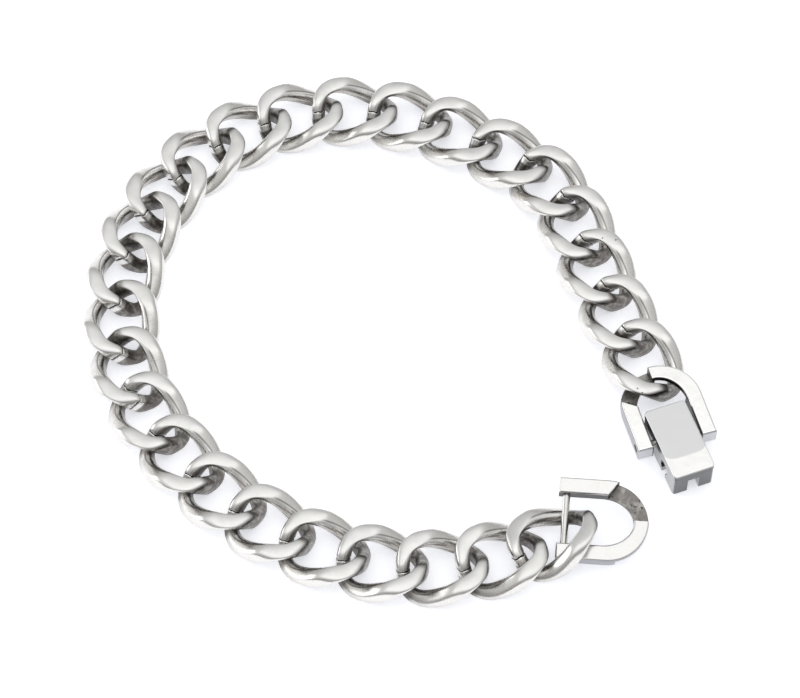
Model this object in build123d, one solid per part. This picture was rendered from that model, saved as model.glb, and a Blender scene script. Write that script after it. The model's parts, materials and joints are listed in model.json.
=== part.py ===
from build123d import *
from math import copysign, cos, hypot, pi, radians, sin
import os

# Curb link, in millimetres and degrees
link_length = 11.9
link_width = 10.4
link_height = 4.05
end_wire_width = 1.85
side_wire_width = 2.4
wire_height = 2.6
link_twist = 92.0
ring_squareness = 3.3
section_squareness = 4.0
ring_stations = 30
section_corners = 8

# End link, the same for both ends of the chain
end_link_length = 11.7
end_link_width = 10.7
end_link_height = 2.5
leg_width = 2.05
crown_width = 1.9
inner_arch_length = 4.2
seat_outer_length = 3.9
seat_inner_length = 5.4
seat_depth = 1.75
seat_side_gap = 0.2
rim_radius = 0.25

# Pins
pin_diameter = 1.0
pin_from_leg_end = 1.15
pin_end_recess = 0.3
bar_from_leg_end = 1.0
pin_clearance = 0.04

# Folding lever
lever_length = 10.5
lever_side_gap = 0.45
lever_height = 4.5
plate_thickness = 0.8
plate_overhang = 0.06
hinge_share = 0.365
lever_skew = 3.5
lever_side = -0.07
catch_share = 0.68
catch_bore_diameter = 2.0
catch_bore_height = 1.75
throat_width = 1.1
slot_width = 1.65
slot_height = 2.6
lever_corner_radius = 0.5
plate_edge_radius = 0.15
block_edge_radius = 0.1

# Route of the chain: the heading of each link, and how much shorter than the
# rings' inner length its step to the next link is
chain_route = [
    (207, 1.15), (197, 0.50), (184, 0.50), (170, 0.45), (160, 0.45), (149, 0.45),
    (139, 0.45), (130, 0.45), (120, 0.60), (107, 0.60), (93, 0.50), (82, 0.90),
    (69, 1.10), (57, 0.75), (42, 0.70), (27, 0.70), (13, 0.55), (358, 0.50),
    (344, 0.70), (332, 0.45), (331, 0.80), (306, 0.65), (289, 0.75), (290, 0.45),
    (291, 0.70), (296, 0.00),
]

# Place of the end links
lever_end_heading = 286.6
lever_end_slack = 0.66
lever_end_side = 0.17
catch_end_heading = 175.6
catch_end_tilt = 14.0
catch_bar_behind = 1.5
catch_end_side = 3.15

# Pose of the first link, which lies on the folded end link's leg
first_link_roll = 13.0
first_link_pitch = 8.0
first_link_side = 0.3


def power(value, exponent):
    """The value raised to the exponent, with its sign kept."""
    return copysign(abs(value) ** exponent, value)


def link_point(station, corner):
    """One corner of the wire's section, at one station around the twisted ring."""
    around = 2 * pi * station / ring_stations
    turn = 2 * pi * (corner + 0.5) / section_corners
    half_length = (link_length - end_wire_width) / 2
    half_width = (link_width - side_wire_width) / 2
    along = half_length * power(cos(around), 2 / ring_squareness)
    across = half_width * power(sin(around), 2 / ring_squareness)
    out_along = power(cos(around), 2 - 2 / ring_squareness) / half_length
    out_across = power(sin(around), 2 - 2 / ring_squareness) / half_width
    out = hypot(out_along, out_across)
    wire_width = end_wire_width + (side_wire_width - end_wire_width) * sin(around) ** 2
    outward = wire_width / 2 * power(cos(turn), 2 / section_squareness)
    upward = wire_height / 2 * power(sin(turn), 2 / section_squareness)
    along += out_along / out * outward
    across += out_across / out * outward
    twist = -radians(link_twist) / 2 * along / half_length
    flat = across * cos(twist) - upward * sin(twist)
    height = across * sin(twist) + upward * cos(twist)
    height = max(-link_height / 2, min(link_height / 2, height))
    return (along, flat, height + link_height / 2)


def triangle(corners):
    """A flat face through three points."""
    return Face(Wire.make_polygon([Vector(*corner) for corner in corners], close=True))


def curb_link():
    """A ring of squarish wire, twisted end to end and ground flat above and below."""
    grid = [
        [link_point(station, corner) for corner in range(section_corners)]
        for station in range(ring_stations)
    ]
    faces = []
    for station in range(ring_stations):
        here = grid[station]
        there = grid[(station + 1) % ring_stations]
        for corner in range(section_corners):
            side = (corner + 1) % section_corners
            faces.append(triangle((here[corner], there[corner], there[side])))
            faces.append(triangle((here[corner], there[side], here[side])))
    return Solid(Shell(faces))


def block(length, width, height, near, side, low):
    """A box from its nearest end, its middle line and its underside."""
    return Pos(near + length / 2, side, low + height / 2) * Box(length, width, height)


def cross_hole(diameter, along, height, width):
    """A round bar across the axis, at one place along it."""
    return Pos(along, 0, height) * Rot(90, 0, 0) * Cylinder(diameter / 2, width)


def end_link():
    """A U of flat wire: the crown at the origin, the legs along X, the underside at zero."""
    outer_radius = end_link_width / 2
    inner_half = end_link_width / 2 - leg_width
    leg_start = crown_width + inner_arch_length
    outer = Pos(outer_radius, 0) * Circle(outer_radius)
    outer += Pos((outer_radius + end_link_length) / 2, 0) * Rectangle(
        end_link_length - outer_radius, end_link_width
    )
    inner = Pos(leg_start, 0) * Ellipse(inner_arch_length, inner_half)
    inner += Pos(leg_start + end_link_length / 2, 0) * Rectangle(
        end_link_length, 2 * inner_half
    )
    body = extrude(outer - inner, end_link_height)
    rims = body.faces().sort_by(Axis.Z)
    body = fillet(rims[0].edges() + rims[-1].edges(), rim_radius)
    slant = (seat_inner_length - seat_outer_length) / leg_width
    beside = end_link_width / 2 + 1
    seat = make_face(
        Polyline(
            (-1, seat_side_gap),
            (seat_outer_length + slant * (beside - 1 - seat_side_gap), seat_side_gap),
            (seat_outer_length - slant, beside),
            (-1, beside),
            close=True,
        )
    )
    body -= Pos(0, 0, -1) * extrude(seat, seat_depth + 1)
    body -= Pos(0, 0, end_link_height - seat_depth) * extrude(mirror(seat, Plane.XZ), seat_depth + 1)
    return body


def pinned_end_link(from_leg_end):
    """An end link with the hole for its pin through both legs."""
    along = end_link_length - from_leg_end
    hole = pin_diameter + 2 * pin_clearance
    return end_link() - cross_hole(hole, along, end_link_height / 2, 2 * end_link_width)


def pin(from_leg_end, recess):
    """A round pin across an end link's legs."""
    along = end_link_length - from_leg_end
    return cross_hole(pin_diameter, along, end_link_height / 2, end_link_width - 2 * recess)


def lever():
    """A folding lever: its hinge axis over the origin, its catch end along X, its underside at zero."""
    lever_width = end_link_width - 2 * leg_width - 2 * lever_side_gap
    arch_end = -hinge_share * lever_length
    body_length = lever_length - 2 * plate_overhang
    body_width = lever_width - 2 * plate_overhang
    plate_low = lever_height - plate_thickness
    plate = block(lever_length, lever_width, plate_thickness, arch_end, 0, plate_low)
    plate = fillet(plate.edges().filter_by(Axis.Z), lever_corner_radius)
    plate = fillet(plate.faces().sort_by(Axis.Z)[-1].edges(), plate_edge_radius)
    body = block(body_length, body_width, plate_low, arch_end + plate_overhang, 0, 0)
    body = fillet(body.edges().filter_by(Axis.Z), lever_corner_radius - plate_overhang)
    body = fillet(body.faces().sort_by(Axis.Z)[0].edges(), block_edge_radius)
    body += plate
    catch = arch_end + catch_share * lever_length
    hinge_hole = cross_hole(pin_diameter + 2 * pin_clearance, 0, lever_height / 2, 2 * lever_width)
    body -= Rot(0, 0, -lever_skew) * hinge_hole
    body -= cross_hole(catch_bore_diameter, catch, catch_bore_height, 2 * lever_width)
    body -= block(throat_width, 2 * lever_width, catch_bore_height + 1, catch - throat_width / 2, 0, -1)
    body -= block(lever_length, slot_width, slot_height + 1, catch, 0, -1)
    return body


def place(shape, point, heading):
    """A shape moved to a point and turned to a heading."""
    return Pos(*point) * Rot(0, 0, heading) * shape


def leaning(shape):
    """The first link's lean: its left side up and its front end down, its lowest point on the ground."""
    turned = Rot(0, first_link_pitch, 0) * Rot(first_link_roll, 0, 0) * Pos(0, 0, -link_height / 2) * shape
    return Pos(0, 0, -turned.bounding_box().min.Z) * turned


def ahead(point, heading, along, across=0):
    """A point moved along a heading and to its left."""
    turn = radians(heading)
    x = point[0] + along * cos(turn) - across * sin(turn)
    y = point[1] + along * sin(turn) + across * cos(turn)
    return (x, y, point[2])


# Chain
pieces = {}
inner_length = link_length - 2 * end_wire_width
one_link = curb_link()
centre = (0, 0, 0)
for number, (heading, slack) in enumerate(chain_route, start=1):
    if number == 1:
        first_centre = centre
        beside = ahead(centre, heading, 0, first_link_side)
        pieces["link_01"] = place(leaning(one_link), beside, heading)
    else:
        pieces[f"link_{number:02d}"] = place(one_link, centre, heading)
    last_centre = centre
    if number < len(chain_route):
        step = inner_length - slack
        next_heading = chain_route[number][0]
        centre = ahead(ahead(centre, heading, step / 2), next_heading, step / 2)

# Lever end
legs_low = (lever_height - end_link_height) / 2
crown_back = inner_length / 2 - lever_end_slack - crown_width
crown = ahead(last_centre, lever_end_heading, crown_back, lever_end_side)
crown = (crown[0], crown[1], legs_low)
hinge = ahead(crown, lever_end_heading, end_link_length - pin_from_leg_end)
pieces["lever_end_link"] = place(pinned_end_link(pin_from_leg_end), crown, lever_end_heading)
pieces["hinge_pin"] = place(pin(pin_from_leg_end, pin_end_recess), crown, lever_end_heading)
hinge = ahead(hinge, lever_end_heading, 0, lever_side)
pieces["clasp_lever"] = place(lever(), (hinge[0], hinge[1], 0), lever_end_heading + lever_skew)

# Catch end, folded back over the first link and tilted up at its far leg
catch_end_reach = catch_bar_behind + end_link_length - bar_from_leg_end
crown = ahead(first_centre, catch_end_heading, -catch_end_reach, -catch_end_side)
tilted = Pos(0, end_link_width / 2, 0) * Rot(-catch_end_tilt, 0, 0) * Pos(0, -end_link_width / 2, 0)
for name, shape in (
    ("catch_end_link", pinned_end_link(bar_from_leg_end)),
    ("catch_bar", pin(bar_from_leg_end, 0)),
):
    pieces[name] = place(tilted * shape, crown, catch_end_heading)

# The whole stands on the ground, with its middle over the origin
bounds = Compound(list(pieces.values())).bounding_box()
to_origin = Pos(-bounds.center().X, -bounds.center().Y, -bounds.min.Z)

os.makedirs("parts", exist_ok=True)
for name, shape in pieces.items():
    export_step(to_origin * shape, f"parts/{name}.step")
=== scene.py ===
"""The link bracelet: fine curb links, steel finishes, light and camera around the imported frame."""

import json
import logging
import math
from dataclasses import dataclass
from enum import Enum

import bpy
import numpy as np
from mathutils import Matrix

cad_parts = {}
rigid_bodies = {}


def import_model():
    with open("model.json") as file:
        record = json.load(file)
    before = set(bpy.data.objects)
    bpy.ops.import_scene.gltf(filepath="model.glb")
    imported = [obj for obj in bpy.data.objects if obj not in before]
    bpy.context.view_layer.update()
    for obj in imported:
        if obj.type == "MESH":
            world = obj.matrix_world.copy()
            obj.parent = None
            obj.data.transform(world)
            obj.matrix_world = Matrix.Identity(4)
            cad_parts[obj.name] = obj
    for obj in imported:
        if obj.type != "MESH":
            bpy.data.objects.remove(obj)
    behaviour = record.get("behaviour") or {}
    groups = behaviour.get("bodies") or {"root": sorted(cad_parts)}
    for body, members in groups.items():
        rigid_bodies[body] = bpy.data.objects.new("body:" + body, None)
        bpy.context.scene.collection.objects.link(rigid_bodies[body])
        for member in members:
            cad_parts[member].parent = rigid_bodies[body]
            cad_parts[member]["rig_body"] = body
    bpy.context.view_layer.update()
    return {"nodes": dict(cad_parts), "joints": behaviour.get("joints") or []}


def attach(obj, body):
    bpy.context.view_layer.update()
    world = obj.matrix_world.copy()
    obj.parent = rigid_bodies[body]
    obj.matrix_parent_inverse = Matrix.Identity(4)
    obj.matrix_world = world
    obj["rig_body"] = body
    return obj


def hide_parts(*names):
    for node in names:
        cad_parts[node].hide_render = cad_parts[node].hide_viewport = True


MM = 0.001
LOG = logging.getLogger("bracelet")


class Slot(Enum):
    """The record's material slots."""

    LINK = "link_steel"
    END_LINK = "end_link_steel"
    PIN = "pin_steel"
    LEVER = "lever_steel"


# Shader writing


class Signal:
    """One number inside a shader, with arithmetic written as operators."""

    def __init__(self, graph: "Graph", socket: bpy.types.NodeSocket) -> None:
        """Keeps the socket that gives the number.

        Args:
            graph: The shader that the socket is in.
            socket: The output socket.
        """
        self.graph = graph
        self.socket = socket

    def math(self, operation: str, *others: "float | Signal") -> "Signal":
        """This number and others through one maths node.

        Args:
            operation: The maths node's operation.
            others: The node's further inputs.

        Returns:
            The node's result.
        """
        return self.graph.math(operation, self, *others)

    def __add__(self, other: "float | Signal") -> "Signal":
        """The sum."""
        return self.graph.math("ADD", self, other)

    __radd__ = __add__

    def __sub__(self, other: "float | Signal") -> "Signal":
        """This number less another."""
        return self.graph.math("SUBTRACT", self, other)

    def __rsub__(self, other: float) -> "Signal":
        """Another number less this one."""
        return self.graph.math("SUBTRACT", other, self)

    def __mul__(self, other: "float | Signal") -> "Signal":
        """The product."""
        return self.graph.math("MULTIPLY", self, other)

    __rmul__ = __mul__

    def __truediv__(self, other: "float | Signal") -> "Signal":
        """This number divided by another."""
        return self.graph.math("DIVIDE", self, other)

    def __rtruediv__(self, other: float) -> "Signal":
        """Another number divided by this one."""
        return self.graph.math("DIVIDE", other, self)

    def ramp(self, low: float, high: float, start: float = 0.0, end: float = 1.0) -> "Signal":
        """A soft step from start to end as this number goes from low to high.

        Args:
            low: Where the step begins.
            high: Where the step ends; below low for a falling step.
            start: The result at and before low.
            end: The result at and after high.

        Returns:
            The stepped number.
        """
        node = self.graph.node(
            "ShaderNodeMapRange",
            {"interpolation_type": "SMOOTHSTEP"},
            {"Value": self, "From Min": low, "From Max": high, "To Min": start, "To Max": end},
        )
        return Signal(self.graph, node.outputs["Result"])


class Graph:
    """One node tree, written node by node."""

    def __init__(self, tree: bpy.types.NodeTree) -> None:
        """Empties the tree.

        Args:
            tree: The node tree of a material or world.
        """
        self.tree = tree
        tree.nodes.clear()

    def node(
        self, kind: str, settings: dict | None = None, inputs: dict | None = None
    ) -> bpy.types.Node:
        """Adds one node.

        Args:
            kind: The node's type.
            settings: Its properties, which are set first.
            inputs: A value, signal or socket for each input, by name or number.

        Returns:
            The node.
        """
        made = self.tree.nodes.new(kind)
        for name, value in (settings or {}).items():
            setattr(made, name, value)
        for name, value in (inputs or {}).items():
            self.feed(made.inputs[name], value)
        return made

    def feed(self, socket: bpy.types.NodeSocket, value: object) -> None:
        """Gives an input its value.

        Args:
            socket: The input.
            value: A signal or socket to link, or a constant.
        """
        if isinstance(value, Signal):
            value = value.socket
        if isinstance(value, bpy.types.NodeSocket):
            self.tree.links.new(value, socket)
        else:
            socket.default_value = value

    def math(self, operation: str, *values: "float | Signal") -> Signal:
        """Numbers through one maths node.

        Args:
            operation: The maths node's operation.
            values: The node's inputs in order.

        Returns:
            The node's result.
        """
        inputs = dict(enumerate(values))
        return Signal(self, self.node("ShaderNodeMath", {"operation": operation}, inputs).outputs[0])

    def vector(self, operation: str, *values: object) -> bpy.types.Node:
        """Vectors through one vector maths node.

        Args:
            operation: The node's operation.
            values: The node's inputs in order.

        Returns:
            The node, whose outputs are Vector and Value.
        """
        inputs = dict(enumerate(values))
        return self.node("ShaderNodeVectorMath", {"operation": operation}, inputs)

    def mix(self, share: "float | Signal", first: object, second: object) -> bpy.types.NodeSocket:
        """Two colours mixed.

        Args:
            share: The second colour's share.
            first: The first colour.
            second: The second colour.

        Returns:
            The mixed colour's socket.
        """
        made = self.node("ShaderNodeMix", {"data_type": "RGBA"}, {"Factor": share})
        self.feed(made.inputs[6], first)
        self.feed(made.inputs[7], second)
        return made.outputs[2]

    def noise(
        self, place: object, size: float, detail: float = 2.0, distortion: float = 0.0
    ) -> Signal:
        """Cloudy noise from 0 to 1.

        Args:
            place: The socket of the place to read it at, in metres.
            size: The size of its clouds, in metres.
            detail: How many finer layers it has.
            distortion: How much its clouds are swirled.

        Returns:
            The noise.
        """
        inputs = {"Vector": place, "Scale": 1 / size, "Detail": detail, "Distortion": distortion}
        return Signal(self, self.node("ShaderNodeTexNoise", {}, inputs).outputs[0])


def attribute(graph: Graph, name: str) -> Signal:
    """A number that the mesh carries at each point."""
    node = graph.node("ShaderNodeAttribute", {"attribute_name": name})
    return Signal(graph, node.outputs["Fac"])


def attribute_vector(graph: Graph, name: str) -> bpy.types.NodeSocket:
    """The socket of a place that the mesh carries at each point."""
    return graph.node("ShaderNodeAttribute", {"attribute_name": name}).outputs["Vector"]


def colour(value: tuple[float, float, float]) -> tuple[float, float, float, float]:
    """A colour with full opacity."""
    return (*value, 1.0)


# Places recovered from the frame


@dataclass(frozen=True)
class Axes:
    """A piece's own axes in the row frame, in metres."""

    origin: np.ndarray
    along: np.ndarray
    across: np.ndarray
    up: np.ndarray

    def row(self, points: np.ndarray) -> np.ndarray:
        """Points of the piece's own axes in the row frame."""
        return points @ np.stack([self.along, self.across, self.up]) + self.origin

    def signals(self, graph: Graph) -> tuple[Signal, Signal, Signal]:
        """The shaded point in the piece's own axes, in metres.

        Args:
            graph: The shader to write in.

        Returns:
            Its places along, across and up.
        """
        point = graph.node("ShaderNodeTexCoord").outputs["Object"]
        offset = graph.vector("SUBTRACT", point, tuple(self.origin)).outputs["Vector"]
        return tuple(
            Signal(graph, graph.vector("DOT_PRODUCT", offset, tuple(axis)).outputs["Value"])
            for axis in (self.along, self.across, self.up)
        )


def node_points(node: bpy.types.Object) -> np.ndarray:
    """A mesh's points.

    Args:
        node: The mesh's object.

    Returns:
        One point in each row, in metres.
    """
    points = np.empty(len(node.data.vertices) * 3)
    node.data.vertices.foreach_get("co", points)
    return points.reshape(-1, 3)


def node_faces(node: bpy.types.Object) -> tuple[np.ndarray, np.ndarray]:
    """The faces of a mesh.

    Args:
        node: The mesh's object.

    Returns:
        The faces' areas and their outward directions.
    """
    mesh = node.data
    areas = np.empty(len(mesh.polygons))
    normals = np.empty(len(mesh.polygons) * 3)
    mesh.polygons.foreach_get("area", areas)
    mesh.polygons.foreach_get("normal", normals)
    return areas, normals.reshape(-1, 3)


def principal(points: np.ndarray) -> np.ndarray:
    """The longest, middle and shortest directions of a cloud of points, one in each row."""
    spread = np.cov((points - points.mean(0)).T)
    return np.linalg.eigh(spread)[1].T[::-1]


# Curb links


@dataclass(frozen=True)
class CurbLink:
    """A ring of squarish wire, twisted end to end and ground flat above and below.

    The sizes are the CAD link's, in millimetres and degrees.
    """

    length: float = 11.9
    width: float = 10.4
    height: float = 4.05
    end_wire_width: float = 1.85
    side_wire_width: float = 2.4
    wire_height: float = 2.6
    twist: float = 92.0
    ring_squareness: float = 3.3
    section_squareness: float = 3.4
    inner_squareness: float = 2.3
    cad_squareness: float = 4.0
    cad_stations: int = 30
    cad_corners: int = 8
    stations: int = 140
    corners: int = 64
    dome: float = 0.12
    dome_slope: float = 0.20
    outer_edge_steps: float = 2.1
    inner_edge_steps: float = 0.9
    lengthwise_steps: float = 2.2
    seam_place: float = 0.92
    seam_width: float = 0.08
    seam_depth: float = 0.14
    seam_waver: float = 0.10
    seam_crowding: float = 7.0
    far_from_seam: float = 9.0
    fitting_rounds: int = 12
    fitting_miss: float = 0.02
    fine_steps: int = 8000

    @staticmethod
    def power(value: np.ndarray, exponent: float) -> np.ndarray:
        """Values raised to an exponent, with their signs kept."""
        return np.copysign(np.abs(value) ** exponent, value)

    def middle_line(self, around: np.ndarray) -> tuple[np.ndarray, np.ndarray]:
        """The wire's middle line, the superellipse a |cos u|^(2/n), b |sin u|^(2/n).

        Args:
            around: The angle u around the ring, in radians.

        Returns:
            Its places along and across the link, in millimetres.
        """
        half_length = (self.length - self.end_wire_width) / 2
        half_width = (self.width - self.side_wire_width) / 2
        rounding = 2 / self.ring_squareness
        along = half_length * self.power(np.cos(around), rounding)
        return along, half_width * self.power(np.sin(around), rounding)

    def unground(
        self, around: np.ndarray, turn: np.ndarray, squareness: np.ndarray | float
    ) -> np.ndarray:
        """Points of the twisted ring before it is ground flat.

        The wire's section is a superellipse in the plane of the middle line's outward direction and
        the vertical. The whole is then turned about the long axis by -t x / (2 a), where t is the
        twist, x the place along the link and a half the middle line's length.

        Args:
            around: The angle u around the ring, in radians.
            turn: The angle around the wire's section, in radians.
            squareness: How square the section is.

        Returns:
            The points, in millimetres, with the centre at the origin.
        """
        half_length = (self.length - self.end_wire_width) / 2
        half_width = (self.width - self.side_wire_width) / 2
        rounding = 2 / self.ring_squareness
        along, across = self.middle_line(around)
        out_along = self.power(np.cos(around), 2 - rounding) / half_length
        out_across = self.power(np.sin(around), 2 - rounding) / half_width
        out = np.hypot(out_along, out_across)
        wider = self.side_wire_width - self.end_wire_width
        wide = self.end_wire_width + wider * np.sin(around) ** 2
        outward = wide / 2 * self.power(np.cos(turn), 2 / squareness)
        upward = self.wire_height / 2 * self.power(np.sin(turn), 2 / squareness)
        along = along + out_along / out * outward
        across = across + out_across / out * outward
        angle = -math.radians(self.twist) / 2 * along / half_length
        flat = across * np.cos(angle) - upward * np.sin(angle)
        height = across * np.sin(angle) + upward * np.cos(angle)
        return np.stack(np.broadcast_arrays(along, flat, height), axis=-1)

    def coarse(self) -> np.ndarray:
        """The CAD link's own corners.

        Returns:
            One point in each row, in millimetres, with the centre at the origin.
        """
        around = 2 * np.pi * np.arange(self.cad_stations)[:, None] / self.cad_stations
        turn = 2 * np.pi * (np.arange(self.cad_corners) + 0.5)[None, :] / self.cad_corners
        points = self.unground(around, turn, self.cad_squareness).reshape(-1, 3)
        points[:, 2] = np.clip(points[:, 2], -self.height / 2, self.height / 2)
        return points

    def axes_of(self, node: bpy.types.Object, towards: np.ndarray) -> Axes:
        """The place of a CAD link, found by laying the coarse link on its corners.

        Args:
            node: The CAD node.
            towards: A point that the link's long axis should point to.

        Returns:
            The link's own axes.
        """
        seen = node_points(node)
        own = self.coarse() * MM
        rows = principal(seen)
        up = rows[2] * np.sign(rows[2][2])
        along = rows[0] * np.sign((towards - seen.mean(0)) @ rows[0])
        turn = np.stack([along, np.cross(up, along), up], axis=1)
        shift = seen.mean(0)
        for _ in range(self.fitting_rounds):
            placed = own @ turn.T + shift
            nearest = ((placed[:, None] - seen[None]) ** 2).sum(-1).argmin(1)
            target = seen[nearest]
            left, _, right = np.linalg.svd((own - own.mean(0)).T @ (target - target.mean(0)))
            flip = np.diag([1, 1, np.sign(np.linalg.det(right.T @ left.T))])
            turn = right.T @ flip @ left.T
            shift = target.mean(0) - turn @ own.mean(0)
        miss = np.abs(own @ turn.T + shift - target).max() / MM
        if miss > self.fitting_miss:
            raise ValueError(f"{node.name} isn't the link known here: off by {miss:.3f} mm")
        return Axes(shift, turn[:, 0], turn[:, 1], turn[:, 2])

    @staticmethod
    def even_steps(dense: np.ndarray, steps: np.ndarray, count: int) -> np.ndarray:
        """Angles at even steps of length along a closed curve.

        Args:
            dense: Angles all the way round the curve.
            steps: The length between each and the next.
            count: How many angles to give.

        Returns:
            The angles, in radians.
        """
        length = np.concatenate([[0], np.cumsum(steps)])
        return np.interp(length[-1] * (np.arange(count) + 0.5) / count, length, dense)

    def grid_angles(self) -> tuple[np.ndarray, np.ndarray]:
        """The grid's angles, at even steps along the curves but closer together at the seam.

        Returns:
            The angles around the ring as a column, and around the wire's section as a row, in radians.
        """
        dense = np.linspace(0, 2 * np.pi, self.fine_steps + 1)
        middle = (dense[1:] + dense[:-1]) / 2
        along, across = self.middle_line(dense)
        steps = np.hypot(np.diff(along), np.diff(across))
        near_seam = np.exp(-((self.seam_distance(middle) / (3 * self.seam_width)) ** 2))
        steps = steps * (1 + self.seam_crowding * near_seam)
        around = self.even_steps(dense, steps, self.stations)
        squareness = np.where(np.cos(dense) > 0, self.section_squareness, self.inner_squareness)
        outward = self.side_wire_width / 2 * self.power(np.cos(dense), 2 / squareness)
        upward = self.wire_height / 2 * self.power(np.sin(dense), 2 / squareness)
        turn = self.even_steps(dense, np.hypot(np.diff(outward), np.diff(upward)), self.corners)
        return around[:, None], turn[None, :]

    def seam_distance(self, around: np.ndarray) -> np.ndarray:
        """How far a place around the ring is before the seam, which crosses the back end's bar.

        Args:
            around: The angle around the ring, in radians.

        Returns:
            The distance across the link, in millimetres, or a large one away from the back end.
        """
        across = self.middle_line(around)[1]
        return np.where(np.cos(around) < 0, across - self.seam_place, self.far_from_seam)

    def ground_flat(self, points: np.ndarray, side: int) -> tuple[np.ndarray, np.ndarray]:
        """Grinds the top or the underside.

        In each section, what stands over the cut is laid on the straight line between the two places
        where the section crosses it, in even steps. The line is then domed to w = 4 d s (1 - s),
        where s is the share of the way along it and d is the dome's height, which is lower on a
        short line.

        Args:
            points: The grid of points, in millimetres.
            side: 1 for the top, -1 for the underside.

        Returns:
            The ground points, and which of them were laid.
        """
        cut = self.height / 2 - self.dome
        height = side * points[..., 2]
        over = height > cut
        ahead = np.roll(points, -1, axis=1)
        rise = np.roll(height, -1, axis=1) - height
        share = (cut - height) / np.where(np.abs(rise) < 1e-9, 1e-9, rise)
        crossing = points + (ahead - points) * share[..., None]
        rows = np.arange(len(points))
        enter = (~over & np.roll(over, -1, axis=1)).argmax(1)
        leave = (over & ~np.roll(over, -1, axis=1)).argmax(1)
        first, last = crossing[rows, enter], crossing[rows, leave]
        rank = (np.arange(points.shape[1])[None, :] - enter[:, None]) % points.shape[1]
        step = (rank / (over.sum(1)[:, None] + 1))[..., None]
        laid = first[:, None] + (last - first)[:, None] * step
        line = np.linalg.norm((last - first)[:, :2], axis=1)[:, None]
        top = np.minimum(self.dome, self.dome_slope * line / 4)
        laid[..., 2] = side * (cut + 4 * top * step[..., 0] * (1 - step[..., 0]))
        return np.where(over[..., None], laid, points), over

    @staticmethod
    def softened(values: np.ndarray, reach: float, axis: int) -> np.ndarray:
        """Each point's mean with its neighbours along one way round the grid, weighted by a bell curve.

        Args:
            values: The grid of points.
            reach: The bell curve's width, in grid steps.
            axis: The way round the grid.

        Returns:
            The softened grid.
        """
        offsets = np.arange(-math.ceil(3 * reach), math.ceil(3 * reach) + 1)
        weights = np.exp(-0.5 * (offsets / reach) ** 2)
        weights /= weights.sum()
        return sum(
            weight * np.roll(values, offset, axis) for offset, weight in zip(offsets, weights)
        )

    def surface(self) -> tuple[np.ndarray, np.ndarray, dict[str, np.ndarray]]:
        """The fine link: a grid of points around the ring and around the wire.

        The twisted ring is ground above and below, its edges are softened more on the outside than
        on the inside, and a narrow groove of depth g exp(-(b / w)^2) runs round the wire at the seam,
        where b is the distance from the wavering seam.

        Returns:
            Points in millimetres, quads as rows of four point numbers, and the values that the finish
            reads: how much a point is ground and how much it faces the ring's inside, from 0 to 1,
            how far it is before the seam, and its place in the link and around the section, in metres.
        """
        around, turn = self.grid_angles()
        rows, columns = self.stations, self.corners
        squareness = np.where(np.cos(turn) > 0, self.section_squareness, self.inner_squareness)
        points = self.unground(around, turn, squareness)
        points, top = self.ground_flat(points, 1)
        points, under = self.ground_flat(points, -1)
        inward = np.broadcast_to(0.5 - 0.5 * np.cos(turn), (rows, columns))
        crisp = self.softened(points, self.inner_edge_steps, 1)
        soft = self.softened(points, self.outer_edge_steps, 1)
        points = soft + (crisp - soft) * inward[..., None]
        points = self.softened(points, self.lengthwise_steps, 0)
        ground = self.softened((top | under).astype(float), 0.8, 1)
        ground = self.softened(ground, 1.5 * self.lengthwise_steps, 0)
        middle = points.mean(1, keepdims=True)
        waver = self.seam_waver * (np.sin(2 * turn + 1) + 0.5 * np.sin(5 * turn))
        before_seam = self.seam_distance(around) - waver
        seam = np.exp(-((before_seam / self.seam_width) ** 2))
        reach = np.linalg.norm(points - middle, axis=-1, keepdims=True)
        points = points - (points - middle) / reach * seam[..., None] * self.seam_depth
        row, column = np.meshgrid(np.arange(rows), np.arange(columns), indexing="ij")
        following, side = (row + 1) % rows, (column + 1) % columns
        here, there = row * columns, following * columns
        corners = (here + column, there + column, there + side, here + side)
        section = np.stack([np.cos(turn), np.sin(turn), np.zeros_like(turn)], axis=-1)
        section = section * self.wire_height / 2
        values = {
            "ground": ground.ravel(),
            "inward": inward.ravel(),
            "before_seam": before_seam.ravel() * MM,
            "own_place": points.reshape(-1, 3) * MM,
            "section_place": np.broadcast_to(section, points.shape).reshape(-1, 3) * MM,
        }
        return points.reshape(-1, 3), np.stack(corners, axis=-1).reshape(-1, 4), values

    def build(self, name: str, axes: Axes, steel: bpy.types.Material) -> bpy.types.Object:
        """One fine link in its place.

        Args:
            name: The piece's name.
            axes: Where it lies.
            steel: Its finish.

        Returns:
            The link's object.
        """
        points, quads, values = self.surface()
        mesh = bpy.data.meshes.new(name)
        mesh.from_pydata(axes.row(points * MM), [], quads)
        mesh.materials.append(steel)
        mesh.polygons.foreach_set("use_smooth", np.ones(len(quads), bool))
        for label, numbers in values.items():
            kind, field = ("FLOAT_VECTOR", "vector") if numbers.ndim == 2 else ("FLOAT", "value")
            layer = mesh.attributes.new(label, kind, "POINT")
            layer.data.foreach_set(field, numbers.astype(np.float32).ravel())
        mesh.update()
        mesh.validate()
        made = bpy.data.objects.new(name, mesh)
        bpy.context.scene.collection.objects.link(made)
        return made


# Finishes


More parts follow.
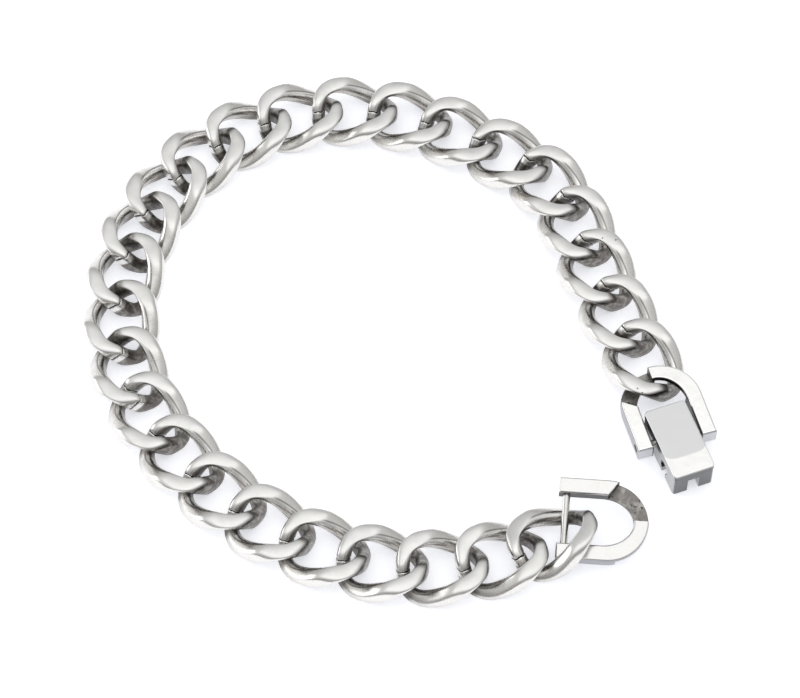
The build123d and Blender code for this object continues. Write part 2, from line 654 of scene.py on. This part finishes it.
@dataclass(frozen=True)
class PolishedSteel:
    """Polished steel with faint ripples, hazy patches and hair scratches.

    The sizes of its clouds and ripples are in millimetres.
    """

    name: str
    tone: tuple[float, float, float] = (0.72, 0.71, 0.70)
    stain: tuple[float, float, float] = (0.50, 0.48, 0.46)
    stain_share: float = 0.3
    roughness: float = 0.16
    haze: float = 0.08
    hair_haze: float = 0.06
    ripple: float = 0.25
    scratch: float = 0.015
    ripple_size: float = 1.6
    cloud_size: float = 2.4
    speck_size: float = 0.5
    hair_size: float = 0.6
    hair_thinness: float = 6.0
    bump_strength: float = 0.35
    bump_height: float = 0.2

    def material(self) -> bpy.types.Material:
        """Makes the finish.

        Returns:
            The material.
        """
        made = bpy.data.materials.new(self.name)
        made.use_nodes = True
        graph = Graph(made.node_tree)
        self.wire(graph, graph.node("ShaderNodeTexCoord").outputs["Object"])
        return made

    def wire(self, graph: Graph, place: object) -> bpy.types.Node:
        """Writes the shader.

        Args:
            graph: The shader to write in.
            place: The socket of the shaded point, in metres.

        Returns:
            The surface shader's node.
        """
        cloud = graph.noise(place, self.cloud_size * MM, 3.0)
        speck = graph.noise(place, self.speck_size * MM, 4.0)
        squeezed = graph.vector("MULTIPLY", place, (1.0, self.hair_thinness, 1.0)).outputs["Vector"]
        hair = graph.noise(squeezed, self.hair_size * MM, 4.0).ramp(0.62, 0.7)
        dull = (cloud * 0.6 + speck * 0.4).ramp(0.42, 0.68)
        base = graph.mix(dull * self.stain_share, colour(self.tone), colour(self.stain))
        rough = self.roughness + dull * self.haze + hair * self.hair_haze
        height = graph.noise(place, self.ripple_size * MM, 1.0) * self.ripple
        if self.scratch:
            height = height + hair * self.scratch
        bump = graph.node(
            "ShaderNodeBump",
            {},
            {
                "Height": height,
                "Strength": self.bump_strength,
                "Distance": self.bump_height * MM,
            },
        )
        shader = graph.node(
            "ShaderNodeBsdfPrincipled",
            {},
            {"Base Color": base, "Metallic": 1.0, "Roughness": rough, "Normal": bump.outputs["Normal"]},
        )
        out = graph.node("ShaderNodeOutputMaterial")
        graph.feed(out.inputs["Surface"], shader.outputs["BSDF"])
        return shader


@dataclass(frozen=True)
class LinkSteel(PolishedSteel):
    """The links' steel.

    The flats are lapped and pale and the outsides warm grey. The inner walls are painted shade and dark
    painted reflection, streaked along the wire, with a painted highlight stripe between painted shade
    lines on the inner flanks. The end bars are painted shade, brown-grey and mottled, and the wire
    darkens towards its underside as painted shade. A dark seam crosses one end bar, with a painted
    highlight on each side of it. A few small pits are given by their places in the row frame and their
    radii. Sizes are in millimetres.
    """

    flat_tone: tuple[float, float, float] = (0.78, 0.775, 0.755)
    flat_patch: tuple[float, float, float] = (0.68, 0.675, 0.665)
    # Painted highlight stripe on the inner flanks.
    highlight_strip: tuple[float, float, float] = (0.98, 0.97, 0.95)
    # Inner walls: painted shade and dark painted reflection, with darker streaks along the wire.
    shaded_wall: tuple[float, float, float] = (0.55, 0.53, 0.50)
    shaded_wall_streak: tuple[float, float, float] = (0.18, 0.165, 0.15)
    # Painted shade lines along both sides of the painted highlight stripe.
    edge: tuple[float, float, float] = (0.18, 0.165, 0.15)
    # End bars: painted shade, mottled; the first tone also paints shade towards the underside.
    bar: tuple[float, float, float] = (0.14, 0.13, 0.12)
    bar_light: tuple[float, float, float] = (0.31, 0.295, 0.275)
    # Painted highlight on each side of the seam.
    highlight_facet: tuple[float, float, float] = (0.84, 0.825, 0.80)
    seam: tuple[float, float, float] = (0.015, 0.013, 0.012)
    bar_start: float = 4.3
    bar_end: float = 5.3
    bar_reach_inside: float = 1.3
    low_depth: float = 1.5
    highlight_before: tuple[float, float] = (2.8, 2.0)
    highlight_after: tuple[float, float] = (1.1, 0.7)
    crack_width: float = 0.10
    crack_core: float = 0.04
    streak_size: float = 0.28
    streak_stretch: float = 0.12
    mottle_size: float = 0.7
    patch_size: float = 1.8
    ragged_size: float = 0.25
    ragged_reach: float = 0.16
    pits: tuple[tuple[float, float, float, float], ...] = (
        (27.76, 13.30, 4.0, 0.13),
        (29.50, 12.98, 4.0, 0.16),
        (29.75, 13.08, 4.0, 0.10),
        (31.58, -10.07, 4.0, 0.15),
        (32.20, -10.64, 3.9, 0.13),
    )

    def streaks(self, graph: Graph, own: bpy.types.NodeSocket) -> Signal:
        """Polishing streaks along the wire.

        Args:
            graph: The shader to write in.
            own: The socket of the place in the link.

        Returns:
            The streaks, from 0 to 1.
        """
        slow = graph.vector("MULTIPLY", own, (self.streak_stretch,) * 3).outputs["Vector"]
        section = attribute_vector(graph, "section_place")
        lengthwise = graph.vector("ADD", section, slow).outputs["Vector"]
        return graph.noise(lengthwise, self.streak_size * MM, 3.0).ramp(0.5, 0.62)

    def cracks(self, graph: Graph, place: object, before: Signal, ragged: Signal) -> Signal:
        """The seam's dark line and the pits.

        Args:
            graph: The shader to write in.
            place: The socket of the shaded point, in metres.
            before: How far the point is before the seam, in metres.
            ragged: A small length that frays the edges, in metres.

        Returns:
            Their mask, from 0 to 1.
        """
        crack = before.math("ABSOLUTE").ramp(self.crack_width * MM, self.crack_core * MM)
        for x, y, z, radius in self.pits:
            gap = graph.vector("DISTANCE", place, (x * MM, y * MM, z * MM)).outputs["Value"]
            pit = (Signal(graph, gap) + ragged).ramp(radius * MM, 0.5 * radius * MM)
            crack = crack.math("MAXIMUM", pit * 0.8)
        return crack

    def wire(self, graph: Graph, place: object) -> bpy.types.Node:
        """Writes the shader, with its regions' masks from the mesh.

        Args:
            graph: The shader to write in.
            place: The socket of the shaded point, in metres.

        Returns:
            The surface shader's node.
        """
        shader = super().wire(graph, place)
        ground = attribute(graph, "ground").ramp(0.3, 0.7)
        inward = attribute(graph, "inward")
        own = attribute_vector(graph, "own_place")
        along, height = (
            Signal(graph, graph.vector("DOT_PRODUCT", own, axis).outputs["Value"])
            for axis in ((1.0, 0.0, 0.0), (0.0, 0.0, 1.0))
        )
        low = height.ramp(0.0, -self.low_depth * MM)
        end = along.math("ABSOLUTE") + inward * (self.bar_reach_inside * MM)
        end = end.ramp(self.bar_start * MM, self.bar_end * MM)
        streak = self.streaks(graph, own)
        mottle = graph.noise(place, self.mottle_size * MM, 4.0).ramp(0.40, 0.70)
        ragged = graph.noise(place, self.ragged_size * MM, 3.0) - 0.5
        ragged = ragged * (self.ragged_reach * MM)
        before = attribute(graph, "before_seam") + ragged
        patch = graph.noise(place, self.patch_size * MM, 3.0).ramp(0.4, 0.7)
        outside = shader.inputs["Base Color"].links[0].from_socket
        # The inner walls' tone is painted shade and dark painted reflection.
        inside = graph.mix(streak * 0.8, colour(self.shaded_wall), colour(self.shaded_wall_streak))
        # A painted highlight stripe on the inner flank, with painted shade lines along both sides.
        line = inward.ramp(0.60, 0.66) * inward.ramp(0.74, 0.68)
        side = graph.mix(inward.ramp(0.68, 0.74), outside, colour(self.highlight_strip))
        side = graph.mix(line * 0.7, side, colour(self.edge))
        side = graph.mix(inward.ramp(0.88, 0.93), side, inside)
        # The end bars' dark mottled tone is painted shade.
        dark = graph.mix(mottle, colour(self.bar), colour(self.bar_light))
        side = graph.mix(end, side, dark)
        # Painted highlights on each side of the seam.
        far, near = self.highlight_before
        beside = before.ramp(far * MM, near * MM)
        far, near = self.highlight_after
        beside = beside * before.ramp(-far * MM, -near * MM)
        side = graph.mix(beside * (1 - streak * 0.4), side, colour(self.highlight_facet))
        # Painted shade towards the underside, deeper on the inner walls.
        shade = low * (inward.ramp(0.35, 0.75) * 0.6 + 0.22)
        side = graph.mix(shade, side, colour(self.bar))
        flat = graph.mix(patch * 0.5, colour(self.flat_tone), colour(self.flat_patch))
        whole = graph.mix(ground, side, flat)
        crack = self.cracks(graph, place, before, ragged)
        graph.feed(shader.inputs["Base Color"], graph.mix(crack, whole, colour(self.seam)))
        smooth = Signal(graph, shader.inputs["Roughness"].links[0].from_socket)
        dull = ground * 0.08 + end * inward * (1 - ground) * 0.12 + crack * 0.3
        graph.feed(shader.inputs["Roughness"], smooth + dull)
        return shader


@dataclass(frozen=True)
class MilledSeats(PolishedSteel):
    """The end links' steel: polished, with its seats left rough and grey from the cutter.

    Its walls below the top are painted shade and painted reflection: lavender-grey outside, near
    black inside the arch, and darkest in a line just under the top edge. The places are in the
    piece's own axes, in millimetres.
    """

    axes: Axes | None = None
    seat_floor: float = 0.75
    seat_side: float = 0.2
    seat_outer: float = 3.9
    seat_slant: float = 0.73
    seat_margin: float = 0.03
    half_width: float = 5.35
    grain_size: float = 0.35
    patch_size: float = 1.3
    mark_size: float = 0.9
    rim_shade_depth: tuple[float, float] = (0.40, 0.20)
    top_depth: tuple[float, float] = (0.04, 0.12)
    milled: tuple[float, float, float] = (0.20, 0.19, 0.18)
    milled_light: tuple[float, float, float] = (0.44, 0.425, 0.40)
    blotch: tuple[float, float, float] = (0.06, 0.055, 0.05)
    height: float = 2.5
    arch_middle: float = 6.1
    arch_length: float = 4.2
    arch_half_width: float = 3.3
    # Tones of the walls below the top: painted shade and painted reflection.
    outer_wall_shade: tuple[float, float, float] = (0.62, 0.62, 0.64)
    inner_wall_shade: tuple[float, float, float] = (0.08, 0.078, 0.075)
    rim_shade_line: tuple[float, float, float] = (0.10, 0.10, 0.10)
    grazing: tuple[float, float, float] = (0.65, 0.65, 0.65)

    def wire(self, graph: Graph, place: object) -> bpy.types.Node:
        """Writes the shader, with the walls' and seats' masks from the piece's own axes.

        Args:
            graph: The shader to write in.
            place: The socket of the shaded point, in metres.

        Returns:
            The surface shader's node.
        """
        shader = super().wire(graph, place)
        along, across, up = self.axes.signals(graph)
        margin = self.seat_margin
        limit = (self.seat_outer + self.seat_slant * self.half_width + 2 * margin) * MM
        before = (along - self.seat_slant * across - limit).ramp(margin * MM, 0.0)
        beside = (across + self.seat_side * MM).ramp(margin * MM, 0.0)
        above = (up - (self.seat_floor - margin) * MM).ramp(-0.02 * MM, 0.0)
        # The seats' rough grey is the cutter's; the mask also takes in their step walls, where that
        # dark tone is painted shade too.
        seat = before * beside * above
        grain = graph.noise(place, self.grain_size * MM, 5.0, 0.4)
        patch = graph.noise(place, self.patch_size * MM, 2.0, 0.6).ramp(0.45, 0.7)
        bright = patch * 0.7 + grain.ramp(0.4, 0.8) * 0.3
        rough_tone = graph.mix(bright, colour(self.milled), colour(self.milled_light))
        marks = graph.noise(place, self.mark_size * MM, 5.0, 1.2).ramp(0.60, 0.66)
        rough_tone = graph.mix(marks, rough_tone, colour(self.blotch))
        base = shader.inputs["Base Color"].links[0].from_socket
        # The walls below the top take painted shade: near black inside the arch, lavender-grey outside,
        # darkest just under the top edge.
        reach = (along - self.arch_middle * MM).math("MINIMUM", 0.0) / (self.arch_length * MM)
        spread = across / (self.arch_half_width * MM)
        inside = (reach * reach + spread * spread).ramp(1.12, 1.03)
        shaded_wall = graph.mix(inside, colour(self.outer_wall_shade), colour(self.inner_wall_shade))
        rim_shade = up.ramp(*((self.height - depth) * MM for depth in self.rim_shade_depth)) * 0.5
        shaded_wall = graph.mix(rim_shade, shaded_wall, colour(self.rim_shade_line))
        low = up.ramp(*((self.height - depth) * MM for depth in self.top_depth))
        base = graph.mix(low, base, shaded_wall)
        graph.feed(shader.inputs["Base Color"], graph.mix(seat, base, rough_tone))
        graph.feed(shader.inputs["Specular Tint"], colour(self.grazing))
        smooth = Signal(graph, shader.inputs["Roughness"].links[0].from_socket)
        graph.feed(shader.inputs["Roughness"], smooth * (1 - seat) + (grain * 0.25 + 0.3) * seat)
        return shader


@dataclass(frozen=True)
class SatinSteel(PolishedSteel):
    """The lever's steel: satin with cross-grain on the plate, and a polished band at its catch end.

    Its walls are painted shade: grey on the sides and darker towards the hinge end, darker still on
    the front cheeks, with a painted shadow line under the plate's overhang. The places are in the
    lever's own axes, in millimetres.
    """

    axes: Axes | None = None
    band_start: float = 4.0
    band_curve: float = 0.6
    band_edge: float = 0.12
    half_width: float = 2.8
    front: float = 6.5
    plate_low: float = 3.7
    plate_top: float = 4.42
    edge: float = 0.06
    side_shade_fade: tuple[float, float] = (4.5, -3.5)
    grain_size: float = 0.5
    satin: tuple[float, float, float] = (0.745, 0.745, 0.75)
    # Tones of the walls: painted shade, and a painted shadow line under the plate.
    side: tuple[float, float, float] = (0.42, 0.42, 0.42)
    side_deep_shade: tuple[float, float, float] = (0.24, 0.24, 0.24)
    cheek_shade: tuple[float, float, float] = (0.16, 0.16, 0.165)
    line: tuple[float, float, float] = (0.05, 0.05, 0.05)

    def wire(self, graph: Graph, place: object) -> bpy.types.Node:
        """Writes the shader, with the band's and walls' masks from the lever's own axes.

        Args:
            graph: The shader to write in.
            place: The socket of the shaded point, in metres.

        Returns:
            The surface shader's node.
        """
        shader = super().wire(graph, place)
        along, across, up = self.axes.signals(graph)
        on_top = up.ramp((self.plate_top - self.edge) * MM, self.plate_top * MM)
        spread = (across / (self.half_width * MM)).math("ABSOLUTE").math("POWER", 5.0)
        start = self.band_start * MM - spread * (self.band_curve * MM)
        satin = (along - start).ramp(self.band_edge * MM, -self.band_edge * MM)
        grain_place = graph.vector("MULTIPLY", place, (3.0, 14.0, 1.0)).outputs["Vector"]
        grain = graph.noise(grain_place, self.grain_size * MM, 3.0)
        base = shader.inputs["Base Color"].links[0].from_socket
        top = graph.mix(satin, base, colour(self.satin))
        # Painted shade on the sides, darker towards the hinge end, and darker still on the front
        # cheeks.
        fade = along.ramp(*(place_along * MM for place_along in self.side_shade_fade))
        side = graph.mix(fade, colour(self.side), colour(self.side_deep_shade))
        at_front = along.ramp((self.front - self.edge) * MM, self.front * MM)
        shaded_wall = graph.mix(at_front, side, colour(self.cheek_shade))
        # A painted shadow line under the plate's overhang.
        plate_shadow = up.ramp((self.plate_low - 0.22) * MM, (self.plate_low - 0.1) * MM)
        plate_shadow = plate_shadow * up.ramp((self.plate_low + self.edge) * MM, self.plate_low * MM)
        shaded_wall = graph.mix(plate_shadow, shaded_wall, colour(self.line))
        graph.feed(shader.inputs["Base Color"], graph.mix(on_top, shaded_wall, top))
        smooth = Signal(graph, shader.inputs["Roughness"].links[0].from_socket)
        satin = satin * on_top
        graph.feed(shader.inputs["Roughness"], smooth * (1 - satin) + (grain * 0.1 + 0.36) * satin)
        return shader


# Sub-assemblies


@dataclass(frozen=True)
class Chain:
    """The 26 curb links.

    The first few, along the near side, have their seams at the front end. There and along the far side
    the seam is further from the ground flat's tip.
    """

    link: CurbLink = CurbLink()
    late_link: CurbLink = CurbLink(seam_place=0.15)
    count: int = 26
    after: str = "lever_end_link"
    turned: range = range(1, 10)
    late: range = range(15, 21)
    # The links' finish has a real seam, pits and streaks, plus painted shade and highlights.
    finish: LinkSteel = LinkSteel(
        "link_steel_wear_and_shade",
        tone=(0.80, 0.785, 0.755),
        stain=(0.68, 0.665, 0.64),
        roughness=0.24,
        ripple=0.35,
        scratch=0.0,
    )

    def build(self, nodes: dict[str, bpy.types.Object]) -> None:
        """Replaces each CAD link by a fine one in the same place.

        Args:
            nodes: The frame's nodes.
        """
        names = [f"link_{number:02d}" for number in range(1, self.count + 1)]
        centres = [node_points(nodes[name]).mean(0) for name in [*names, self.after]]
        steel = self.finish.material()
        for number, (name, towards) in enumerate(zip(names, centres[1:]), start=1):
            axes = self.link.axes_of(nodes[name], towards)
            if number in self.turned:
                axes = Axes(axes.origin, -axes.along, -axes.across, axes.up)
            late = number in self.turned or number in self.late
            shape = self.late_link if late else self.link
            piece = shape.build(f"fine_{name}", axes, steel)
            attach(piece, nodes[name]["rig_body"])
            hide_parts(name)
        LOG.info("chain: %d fine links", self.count)


@dataclass(frozen=True)
class EndLink:
    """One U-shaped end link with its pin."""

    link: str
    pin: str
    tone: tuple[float, float, float]

    def axes(self, nodes: dict[str, bpy.types.Object]) -> Axes:
        """The end link's own axes: the crown's outermost point at the origin, the underside at zero.

        Args:
            nodes: The frame's nodes.

        Returns:
            The axes.
        """
        points, pin = node_points(nodes[self.link]), node_points(nodes[self.pin])
        areas, normals = node_faces(nodes[self.link])
        level = normals[:, 2] > 0.9
        up = (normals[level] * areas[level, None]).sum(0)
        up /= np.linalg.norm(up)
        across = principal(pin)[0]
        across -= up * (across @ up)
        across /= np.linalg.norm(across)
        along = np.cross(across, up)
        if (pin.mean(0) - points.mean(0)) @ along < 0:
            along, across = -along, -across
        middle = pin.mean(0) @ across
        origin = along * (points @ along).min() + across * middle + up * (points @ up).min()
        return Axes(origin, along, across, up)

    def dress(self, nodes: dict[str, bpy.types.Object]) -> None:
        """Gives the two CAD nodes their finishes.

        Args:
            nodes: The frame's nodes.
        """
        axes = self.axes(nodes)
        finish = MilledSeats(f"{self.link}_steel", tone=self.tone, stain_share=0.06, axes=axes)
        assign(nodes[self.link], finish.material())
        drawn = PolishedSteel(
            f"{self.pin}_steel", tone=(0.66, 0.65, 0.63), ripple=0.05, roughness=0.18
        )
        assign(nodes[self.pin], drawn.material())
        LOG.info("end link: %s and %s", self.link, self.pin)


@dataclass(frozen=True)
class Lever:
    """The folding lever."""

    node: str = "clasp_lever"

    def axes(self, nodes: dict[str, bpy.types.Object], joint: dict) -> Axes:
        """The lever's own axes, with the hinge over the origin.

        Args:
            nodes: The frame's nodes.
            joint: The hinge's entry in the record.

        Returns:
            The axes.
        """
        points = node_points(nodes[self.node])
        areas, normals = node_faces(nodes[self.node])
        upright = np.abs(normals[:, 2]) < 0.05
        angles = np.arctan2(normals[upright, 1], normals[upright, 0])
        quarter = np.angle((areas[upright] * np.exp(4j * angles)).sum()) / 4
        hinge = np.array(joint["pos_m"])
        away = points.mean(0) - hinge
        headings = quarter + np.arange(4) * np.pi / 2
        ways = np.stack([np.cos(headings), np.sin(headings), np.zeros(4)], axis=1)
        along = ways[(ways @ away).argmax()]
        up = np.array([0.0, 0.0, 1.0])
        origin = np.array([hinge[0], hinge[1], 0.0])
        return Axes(origin, along, np.cross(up, along), up)

    def dress(self, nodes: dict[str, bpy.types.Object], joint: dict) -> None:
        """Gives the CAD node its finish.

        Args:
            nodes: The frame's nodes.
            joint: The hinge's entry in the record.
        """
        finish = SatinSteel(
            "lever_steel_satin",
            tone=(0.86, 0.855, 0.84),
            stain_share=0.04,
            haze=0.02,
            axes=self.axes(nodes, joint),
        )
        assign(nodes[self.node], finish.material())
        LOG.info("lever: %s", self.node)


def assign(node: bpy.types.Object, material: bpy.types.Material) -> None:
    """Puts a material in every slot of a CAD node."""
    for place in node.material_slots:
        place.material = material


# Studio


@dataclass(frozen=True)
class Softbox:
    """One rectangular soft light that faces the row frame's origin, in metres and watts."""

    name: str
    place: tuple[float, float, float]
    size: tuple[float, float]
    power: float

    def build(self) -> None:
        """Makes the light."""
        light = bpy.data.lights.new(self.name, "AREA")
        light.shape = "RECTANGLE"
        light.size, light.size_y = self.size
        light.energy = self.power
        made = bpy.data.objects.new(self.name, light)
        bpy.context.scene.collection.objects.link(made)
        place = np.array(self.place)
        back = place / np.linalg.norm(place)
        side = np.cross((0.0, 0.0, 1.0), back)
        side /= np.linalg.norm(side)
        top = np.cross(back, side)
        matrix = np.eye(4)
        matrix[:3, 0], matrix[:3, 1], matrix[:3, 2], matrix[:3, 3] = side, top, back, place
        made.matrix_world = [list(row) for row in matrix.T]


@dataclass(frozen=True)
class Studio:
    """A pale table, a pale surround and a soft light from the left.

    The surround's brightness goes from the horizon through what lies behind the object to overhead.
    """

    floor_tone: tuple[float, float, float] = (0.93, 0.93, 0.94)
    floor_size: float = 1.2
    floor_tint: tuple[float, float, float] = (0.93, 0.945, 1.0)
    floor_glow: float = 0.50
    floor_roughness: float = 0.9
    overhead: float = 1.32
    behind: float = 0.68
    horizon: float = 0.42
    camera_shade: float = 0.35
    light: Softbox = Softbox("left_light", (-0.60, 0.12, 0.16), (0.50, 0.26), 0.75)

    def build(self) -> None:
        """Makes the floor, the surround and the light."""
        self.floor()
        self.surround()
        self.light.build()
        LOG.info("studio: floor, surround and %s", self.light.name)

    def floor(self) -> None:
        """The table: a plain pale square."""
        half = self.floor_size / 2
        mesh = bpy.data.meshes.new("table_top")
        corners = [(-half, -half, 0.0), (half, -half, 0.0), (half, half, 0.0), (-half, half, 0.0)]
        mesh.from_pydata(corners, [], [(0, 1, 2, 3)])
        paper = bpy.data.materials.new("table_paper")
        paper.use_nodes = True
        graph = Graph(paper.node_tree)
        settings = {
            "Base Color": colour(self.floor_tone),
            "Roughness": self.floor_roughness,
            "Emission Color": colour(self.floor_tint),
            "Emission Strength": self.floor_glow,
        }
        shader = graph.node("ShaderNodeBsdfPrincipled", {}, settings)
        out = graph.node("ShaderNodeOutputMaterial")
        graph.feed(out.inputs["Surface"], shader.outputs["BSDF"])
        mesh.materials.append(paper)
        made = bpy.data.objects.new("table_top", mesh)
        bpy.context.scene.collection.objects.link(made)

    def surround(self) -> None:
        """The surround: bright overhead, dim at the horizon and on the near side."""
        world = bpy.data.worlds.new("pale_surround")
        world.use_nodes = True
        bpy.context.scene.world = world
        graph = Graph(world.node_tree)
        direction = graph.node("ShaderNodeTexCoord").outputs["Generated"]
        split = graph.node("ShaderNodeSeparateXYZ", {}, {"Vector": direction})
        height = Signal(graph, split.outputs["Z"])
        depth = Signal(graph, split.outputs["Y"])
        sky = height.ramp(0.76, 0.93, self.behind, self.overhead)
        low = height.ramp(0.0, 0.75)
        camera_side = depth.ramp(-0.2, -0.7) * height.ramp(0.85, 0.55)
        level = (low * (sky - self.horizon) + self.horizon) * (1 - camera_side * self.camera_shade)
        white = colour((1.0, 1.0, 1.0))
        back = graph.node("ShaderNodeBackground", {}, {"Color": white, "Strength": level})
        out = graph.node("ShaderNodeOutputWorld")
        graph.feed(out.inputs["Surface"], back.outputs["Background"])


@dataclass(frozen=True)
class PhotoCamera:
    """The photograph's camera: level, looking along +Y and down.

    The angle is in degrees, and the lengths are in millimetres.
    """

    down: float = 59.05
    distance: float = 435.23
    lens: float = 147.42
    sensor: float = 36.0
    aim: tuple[float, float] = (0.589, -1.661)

    def build(self) -> None:
        """Makes the camera and puts it in use."""
        data = bpy.data.cameras.new("photo_camera")
        data.sensor_fit = "HORIZONTAL"
        data.sensor_width = self.sensor
        data.lens = self.lens
        data.clip_start = 0.01
        data.clip_end = 10.0
        made = bpy.data.objects.new("photo_camera", data)
        bpy.context.scene.collection.objects.link(made)
        angle = math.radians(self.down)
        made.location = (
            self.aim[0] * MM,
            (self.aim[1] - self.distance * math.cos(angle)) * MM,
            self.distance * math.sin(angle) * MM,
        )
        made.rotation_euler = (math.pi / 2 - angle, 0.0, 0.0)
        bpy.context.scene.camera = made
        view = bpy.context.scene.view_settings
        view.view_transform = "Standard"
        view.look = "None"
        view.exposure = 0.0
        LOG.info("camera: %.0f degrees down from %.0f mm away", self.down, self.distance)


def main() -> None:
    """Builds the bracelet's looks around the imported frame."""
    logging.basicConfig(level=logging.INFO, format="%(name)s: %(message)s")
    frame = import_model()
    nodes = frame["nodes"]
    joint = frame["joints"][0]
    PhotoCamera().build()
    Studio().build()
    Chain().build(nodes)
    # Both end links are the same steel; the catch end link's darker tone is painted shade.
    EndLink("catch_end_link", "catch_bar", (0.73, 0.725, 0.71)).dress(nodes)
    EndLink("lever_end_link", "hinge_pin", (0.91, 0.905, 0.885)).dress(nodes)
    Lever().dress(nodes, joint)


if __name__ == "__main__":
    main()
